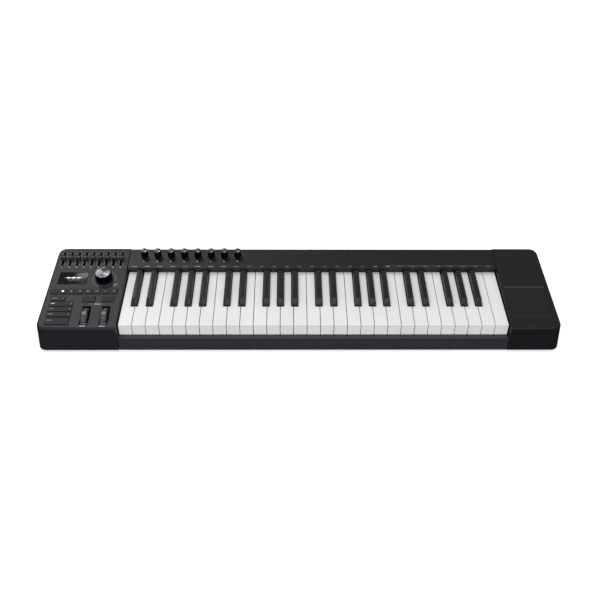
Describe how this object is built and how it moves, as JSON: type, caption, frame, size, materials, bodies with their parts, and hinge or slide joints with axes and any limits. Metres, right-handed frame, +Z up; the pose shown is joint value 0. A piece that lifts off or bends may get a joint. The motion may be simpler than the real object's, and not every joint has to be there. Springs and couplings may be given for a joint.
{
  "type": "midi keyboard",
  "caption": "Slim table-top controller keyboard with full-size keys, a dark control block with faders, dial, screen and wheels, rear knobs and a touchpad.",
  "frame": {"origin": "centre of the footprint, on the surface that the feet stand on", "axes": "+X along the keys from low notes to high, +Y away from the player, +Z up"},
  "size_m": [0.9176, 0.2092, 0.0813],
  "materials": {
    "left_housing_plastic": "moulded ABS, fine satin texture, dark grey",
    "right_housing_plastic": "moulded ABS, fine satin texture, near black",
    "cover_plastic": "moulded ABS, matt",
    "strip_metal": "brushed aluminium, anodised dark grey",
    "rail_metal": "brushed aluminium, anodised dark grey",
    "white_key_plastic": "moulded ABS, glossy white",
    "black_key_plastic": "moulded ABS, satin black",
    "button_silicone": "moulded silicone rubber, dark grey",
    "fader_cap_plastic": "moulded ABS, satin dark grey",
    "knob_metal": "turned aluminium, anodised dark, spun top",
    "encoder_metal": "turned aluminium, anodised dark, spun top",
    "wheel_rubber": "ribbed rubber on a moulded wheel, black",
    "display_glass": "black display glass, glossy",
    "touchpad_film": "matt printed film",
    "socket_plastic": "moulded black nylon and plated metal",
    "foot_rubber": "moulded rubber, matt black",
    "chassis_steel": "pressed zinc-plated steel sheet",
    "board_laminate": "green printed circuit laminate"
  },
  "bodies": {
    "root": {"bottom_cover": "cover_plastic", "left_end_housing": "left_housing_plastic", "right_end_housing": "right_housing_plastic", "rear_panel": "strip_metal", "front_rail": "rail_metal", "keybed_chassis": "chassis_steel", "key_contact_board": "board_laminate", "control_board": "board_laminate", "connector_board": "socket_plastic", "display_window": "display_glass", "touchpad": "touchpad_film", "foot_front_left": "foot_rubber", "foot_rear_left": "foot_rubber", "foot_front_right": "foot_rubber", "foot_rear_right": "foot_rubber"},
    "pitch_wheel": {"pitch_wheel": "wheel_rubber"},
    "mod_wheel": {"mod_wheel": "wheel_rubber"},
    "main_encoder_knob": {"main_encoder_knob": "encoder_metal"},
    "transport_keypad": {"transport_keypad": "button_silicone"},
    "function_keypad": {"function_keypad": "button_silicone"},
    "octave_keypad": {"octave_keypad": "button_silicone"},
    "white_key_c": {"white_key_c": "white_key_plastic"},
    "black_key_c_sharp": {"black_key_c_sharp": "black_key_plastic"},
    "outer_whites_octave_1": {"outer_whites_octave_1": "white_key_plastic"},
    "inner_whites_octave_1": {"inner_whites_octave_1": "white_key_plastic"},
    "black_keys_octave_1": {"black_keys_octave_1": "black_key_plastic"},
    "fader_cap_1": {"fader_cap_1": "fader_cap_plastic"},
    "knob_1": {"knob_1": "knob_metal"},
    "white_key_top_c": {"white_key_top_c": "white_key_plastic"},
    "white_key_g": {"white_key_g": "white_key_plastic"},
    "fader_cap_5": {"fader_cap_5": "fader_cap_plastic"},
    "knob_8": {"knob_8": "knob_metal"},
    "white_key_d": {"white_key_d": "white_key_plastic"},
    "white_key_e": {"white_key_e": "white_key_plastic"},
    "white_key_f": {"white_key_f": "white_key_plastic"},
    "white_key_a": {"white_key_a": "white_key_plastic"},
    "white_key_b": {"white_key_b": "white_key_plastic"},
    "black_key_d_sharp": {"black_key_d_sharp": "black_key_plastic"},
    "black_key_f_sharp": {"black_key_f_sharp": "black_key_plastic"},
    "black_key_g_sharp": {"black_key_g_sharp": "black_key_plastic"},
    "black_key_a_sharp": {"black_key_a_sharp": "black_key_plastic"},
    "outer_whites_octave_2": {"outer_whites_octave_2": "white_key_plastic"},
    "inner_whites_octave_2": {"inner_whites_octave_2": "white_key_plastic"},
    "black_keys_octave_2": {"black_keys_octave_2": "black_key_plastic"},
    "outer_whites_octave_4": {"outer_whites_octave_4": "white_key_plastic"},
    "inner_whites_octave_4": {"inner_whites_octave_4": "white_key_plastic"},
    "black_keys_octave_4": {"black_keys_octave_4": "black_key_plastic"},
    "fader_cap_2": {"fader_cap_2": "fader_cap_plastic"},
    "fader_cap_3": {"fader_cap_3": "fader_cap_plastic"},
    "fader_cap_4": {"fader_cap_4": "fader_cap_plastic"},
    "fader_cap_6": {"fader_cap_6": "fader_cap_plastic"},
    "fader_cap_7": {"fader_cap_7": "fader_cap_plastic"},
    "fader_cap_8": {"fader_cap_8": "fader_cap_plastic"},
    "fader_cap_9": {"fader_cap_9": "fader_cap_plastic"},
    "knob_2": {"knob_2": "knob_metal"},
    "knob_3": {"knob_3": "knob_metal"},
    "knob_4": {"knob_4": "knob_metal"},
    "knob_5": {"knob_5": "knob_metal"},
    "knob_6": {"knob_6": "knob_metal"},
    "knob_7": {"knob_7": "knob_metal"}
  },
  "joints": [
    {"name": "pitch_wheel_turn", "type": "hinge", "parent": "root", "child": "pitch_wheel", "pos_m": [-0.3738, -0.0733, 0.04235], "axis": [1, 0, 0], "range_deg": [-40, 40], "stiffness_Nm_per_rad": 0.05},
    {"name": "mod_wheel_turn", "type": "hinge", "parent": "root", "child": "mod_wheel", "pos_m": [-0.34, -0.0733, 0.04235], "axis": [1, 0, 0], "range_deg": [-40, 40]},
    {"name": "main_encoder_turn", "type": "hinge", "parent": "root", "child": "main_encoder_knob", "pos_m": [-0.355, 0.0207, 0.0646], "axis": [0, -0.0558, 0.9984], "continuous": true},
    {"name": "transport_keypad_press", "type": "slide", "parent": "root", "child": "transport_keypad", "axis": [0, 0.0558, -0.9984], "range_m": [0, 0.0013], "stiffness_N_per_m": 700, "springref_m": -0.002},
    {"name": "function_keypad_press", "type": "slide", "parent": "root", "child": "function_keypad", "axis": [0, 0.0558, -0.9984], "range_m": [0, 0.0013], "stiffness_N_per_m": 700, "springref_m": -0.002},
    {"name": "octave_keypad_press", "type": "slide", "parent": "root", "child": "octave_keypad", "axis": [0, 0.0558, -0.9984], "range_m": [0, 0.0013], "stiffness_N_per_m": 700, "springref_m": -0.002},
    {"name": "white_key_c_press", "type": "hinge", "parent": "root", "child": "white_key_c", "pos_m": [0, 0.088, 0.04625], "axis": [1, 0, 0], "range_deg": [0, 3], "stiffness_Nm_per_rad": 0.35, "springref_deg": -17.19},
    {"name": "black_key_c_sharp_press", "type": "hinge", "parent": "root", "child": "black_key_c_sharp", "pos_m": [0, 0.088, 0.04625], "axis": [1, 0, 0], "range_deg": [0, 3], "stiffness_Nm_per_rad": 0.25, "springref_deg": -17.19},
    {"name": "outer_whites_octave_1_press", "type": "hinge", "parent": "root", "child": "outer_whites_octave_1", "pos_m": [0, 0.088, 0.04575], "axis": [1, 0, 0], "range_deg": [0, 3], "stiffness_Nm_per_rad": 1.4, "springref_deg": -17.19},
    {"name": "inner_whites_octave_1_press", "type": "hinge", "parent": "root", "child": "inner_whites_octave_1", "pos_m": [0, 0.088, 0.05045], "axis": [1, 0, 0], "range_deg": [0, 3], "stiffness_Nm_per_rad": 1.05, "springref_deg": -17.19},
    {"name": "black_keys_octave_1_press", "type": "hinge", "parent": "root", "child": "black_keys_octave_1", "pos_m": [0, 0.088, 0.04105], "axis": [1, 0, 0], "range_deg": [0, 3], "stiffness_Nm_per_rad": 1.25, "springref_deg": -17.19},
    {"name": "fader_cap_1_slide", "type": "slide", "parent": "root", "child": "fader_cap_1", "axis": [0, 0.9984, 0.0558], "range_m": [-0.015, 0.015]},
    {"name": "knob_1_turn", "type": "hinge", "parent": "root", "child": "knob_1", "pos_m": [-0.2887, 0.0841, 0.06815], "axis": [0, -0.0558, 0.9984], "continuous": true},
    {"name": "white_key_top_c_press", "type": "hinge", "parent": "root", "child": "white_key_top_c", "pos_m": [0, 0.088, 0.04625], "axis": [1, 0, 0], "range_deg": [0, 3], "stiffness_Nm_per_rad": 0.35, "springref_deg": -17.19},
    {"name": "white_key_g_press", "type": "hinge", "parent": "root", "child": "white_key_g", "pos_m": [0, 0.088, 0.04625], "axis": [1, 0, 0], "range_deg": [0, 3], "stiffness_Nm_per_rad": 0.35, "springref_deg": -17.19},
    {"name": "fader_cap_5_slide", "type": "slide", "parent": "root", "child": "fader_cap_5", "axis": [0, 0.9984, 0.0558], "range_m": [-0.015, 0.015]},
    {"name": "knob_8_turn", "type": "hinge", "parent": "root", "child": "knob_8", "pos_m": [-0.11461, 0.0841, 0.06815], "axis": [0, -0.0558, 0.9984], "continuous": true},
    {"name": "white_key_d_press", "type": "hinge", "parent": "root", "child": "white_key_d", "pos_m": [0, 0.088, 0.04625], "axis": [1, 0, 0], "range_deg": [0, 3], "stiffness_Nm_per_rad": 0.35, "springref_deg": -17.19},
    {"name": "white_key_e_press", "type": "hinge", "parent": "root", "child": "white_key_e", "pos_m": [0, 0.088, 0.04625], "axis": [1, 0, 0], "range_deg": [0, 3], "stiffness_Nm_per_rad": 0.35, "springref_deg": -17.19},
    {"name": "white_key_f_press", "type": "hinge", "parent": "root", "child": "white_key_f", "pos_m": [0, 0.088, 0.04625], "axis": [1, 0, 0], "range_deg": [0, 3], "stiffness_Nm_per_rad": 0.35, "springref_deg": -17.19},
    {"name": "white_key_a_press", "type": "hinge", "parent": "root", "child": "white_key_a", "pos_m": [0, 0.088, 0.04625], "axis": [1, 0, 0], "range_deg": [0, 3], "stiffness_Nm_per_rad": 0.35, "springref_deg": -17.19},
    {"name": "white_key_b_press", "type": "hinge", "parent": "root", "child": "white_key_b", "pos_m": [0, 0.088, 0.04625], "axis": [1, 0, 0], "range_deg": [0, 3], "stiffness_Nm_per_rad": 0.35, "springref_deg": -17.19},
    {"name": "black_key_d_sharp_press", "type": "hinge", "parent": "root", "child": "black_key_d_sharp", "pos_m": [0, 0.088, 0.04625], "axis": [1, 0, 0], "range_deg": [0, 3], "stiffness_Nm_per_rad": 0.25, "springref_deg": -17.19},
    {"name": "black_key_f_sharp_press", "type": "hinge", "parent": "root", "child": "black_key_f_sharp", "pos_m": [0, 0.088, 0.04625], "axis": [1, 0, 0], "range_deg": [0, 3], "stiffness_Nm_per_rad": 0.25, "springref_deg": -17.19},
    {"name": "black_key_g_sharp_press", "type": "hinge", "parent": "root", "child": "black_key_g_sharp", "pos_m": [0, 0.088, 0.04625], "axis": [1, 0, 0], "range_deg": [0, 3], "stiffness_Nm_per_rad": 0.25, "springref_deg": -17.19},
    {"name": "black_key_a_sharp_press", "type": "hinge", "parent": "root", "child": "black_key_a_sharp", "pos_m": [0, 0.088, 0.04625], "axis": [1, 0, 0], "range_deg": [0, 3], "stiffness_Nm_per_rad": 0.25, "springref_deg": -17.19},
    {"name": "outer_whites_octave_2_press", "type": "hinge", "parent": "root", "child": "outer_whites_octave_2", "pos_m": [0, 0.088, 0.04575], "axis": [1, 0, 0], "range_deg": [0, 3], "stiffness_Nm_per_rad": 1.4, "springref_deg": -17.19},
    {"name": "inner_whites_octave_2_press", "type": "hinge", "parent": "root", "child": "inner_whites_octave_2", "pos_m": [0, 0.088, 0.05045], "axis": [1, 0, 0], "range_deg": [0, 3], "stiffness_Nm_per_rad": 1.05, "springref_deg": -17.19},
    {"name": "black_keys_octave_2_press", "type": "hinge", "parent": "root", "child": "black_keys_octave_2", "pos_m": [0, 0.088, 0.04105], "axis": [1, 0, 0], "range_deg": [0, 3], "stiffness_Nm_per_rad": 1.25, "springref_deg": -17.19},
    {"name": "outer_whites_octave_4_press", "type": "hinge", "parent": "root", "child": "outer_whites_octave_4", "pos_m": [0, 0.088, 0.04575], "axis": [1, 0, 0], "range_deg": [0, 3], "stiffness_Nm_per_rad": 1.4, "springref_deg": -17.19},
    {"name": "inner_whites_octave_4_press", "type": "hinge", "parent": "root", "child": "inner_whites_octave_4", "pos_m": [0, 0.088, 0.05045], "axis": [1, 0, 0], "range_deg": [0, 3], "stiffness_Nm_per_rad": 1.05, "springref_deg": -17.19},
    {"name": "black_keys_octave_4_press", "type": "hinge", "parent": "root", "child": "black_keys_octave_4", "pos_m": [0, 0.088, 0.04105], "axis": [1, 0, 0], "range_deg": [0, 3], "stiffness_Nm_per_rad": 1.25, "springref_deg": -17.19},
    {"name": "fader_cap_2_slide", "type": "slide", "parent": "root", "child": "fader_cap_2", "axis": [0, 0.9984, 0.0558], "range_m": [-0.015, 0.015]},
    {"name": "fader_cap_3_slide", "type": "slide", "parent": "root", "child": "fader_cap_3", "axis": [0, 0.9984, 0.0558], "range_m": [-0.015, 0.015]},
    {"name": "fader_cap_4_slide", "type": "slide", "parent": "root", "child": "fader_cap_4", "axis": [0, 0.9984, 0.0558], "range_m": [-0.015, 0.015]},
    {"name": "fader_cap_6_slide", "type": "slide", "parent": "root", "child": "fader_cap_6", "axis": [0, 0.9984, 0.0558], "range_m": [-0.015, 0.015]},
    {"name": "fader_cap_7_slide", "type": "slide", "parent": "root", "child": "fader_cap_7", "axis": [0, 0.9984, 0.0558], "range_m": [-0.015, 0.015]},
    {"name": "fader_cap_8_slide", "type": "slide", "parent": "root", "child": "fader_cap_8", "axis": [0, 0.9984, 0.0558], "range_m": [-0.015, 0.015]},
    {"name": "fader_cap_9_slide", "type": "slide", "parent": "root", "child": "fader_cap_9", "axis": [0, 0.9984, 0.0558], "range_m": [-0.015, 0.015]},
    {"name": "knob_2_turn", "type": "hinge", "parent": "root", "child": "knob_2", "pos_m": [-0.26383, 0.0841, 0.06815], "axis": [0, -0.0558, 0.9984], "continuous": true},
    {"name": "knob_3_turn", "type": "hinge", "parent": "root", "child": "knob_3", "pos_m": [-0.23896, 0.0841, 0.06815], "axis": [0, -0.0558, 0.9984], "continuous": true},
    {"name": "knob_4_turn", "type": "hinge", "parent": "root", "child": "knob_4", "pos_m": [-0.21409, 0.0841, 0.06815], "axis": [0, -0.0558, 0.9984], "continuous": true},
    {"name": "knob_5_turn", "type": "hinge", "parent": "root", "child": "knob_5", "pos_m": [-0.18922, 0.0841, 0.06815], "axis": [0, -0.0558, 0.9984], "continuous": true},
    {"name": "knob_6_turn", "type": "hinge", "parent": "root", "child": "knob_6", "pos_m": [-0.16435, 0.0841, 0.06815], "axis": [0, -0.0558, 0.9984], "continuous": true},
    {"name": "knob_7_turn", "type": "hinge", "parent": "root", "child": "knob_7", "pos_m": [-0.13948, 0.0841, 0.06815], "axis": [0, -0.0558, 0.9984], "continuous": true}
  ]
}
